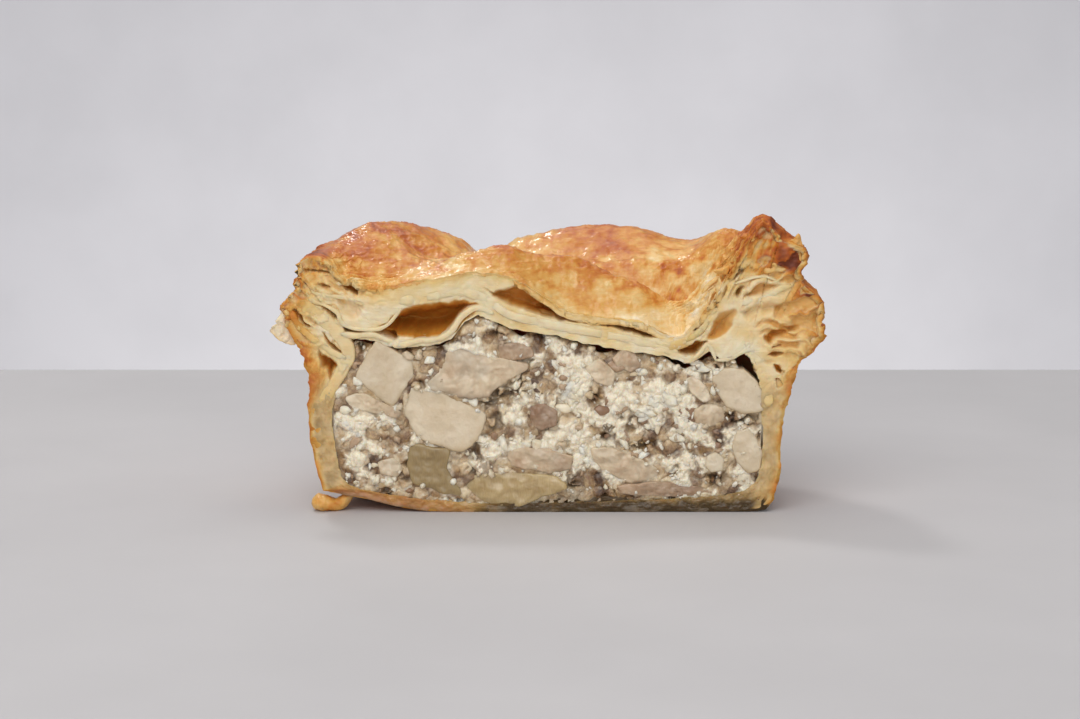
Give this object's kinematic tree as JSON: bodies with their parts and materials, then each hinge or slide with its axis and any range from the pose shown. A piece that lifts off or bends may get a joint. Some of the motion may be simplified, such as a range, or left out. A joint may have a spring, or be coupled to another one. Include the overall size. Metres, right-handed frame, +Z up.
{
  "type": "mushroom pie half",
  "caption": "Half of a small deep puff pastry pie, cut through the middle to show its cheese, potato and mushroom filling.",
  "frame": {"origin": "middle of the flat underside, below the middle of the pie along the cut", "axes": "+X to the right along the cut face, +Y from the cut into the pie, +Z up"},
  "size_m": [0.1078, 0.0557, 0.0591],
  "materials": {
    "lid_crust": "egg-washed baked puff pastry, golden brown, slightly glossy on top, cream layers in the cut",
    "case_crust": "baked puff pastry, browned and flaky outside, pale and dense in the cut",
    "cheese_filling": "moist white curds with grey-brown mushroom crumbs",
    "potato": "boiled potato, pale cream, moist",
    "onion": "soft cooked onion, olive-yellow, translucent and glossy",
    "mushroom": "cooked mushroom, beige to grey-brown, moist"
  },
  "bodies": {
    "root": {"pastry_lid": "lid_crust", "pastry_case": "case_crust", "filling": "cheese_filling", "potato_upper_left": "potato", "potato_middle_left": "potato", "potato_upper_right": "potato", "potato_lower_right": "potato", "potato_small_right": "potato", "onion_left": "onion", "onion_base": "onion", "mushroom_cap_slice": "mushroom", "mushroom_block": "mushroom", "mushroom_left_strip": "mushroom", "mushroom_centre": "mushroom", "mushroom_top_right": "mushroom", "mushroom_long_slice": "mushroom", "mushroom_right_slice": "mushroom", "mushroom_pale_slice": "mushroom"}
  },
  "joints": []
}
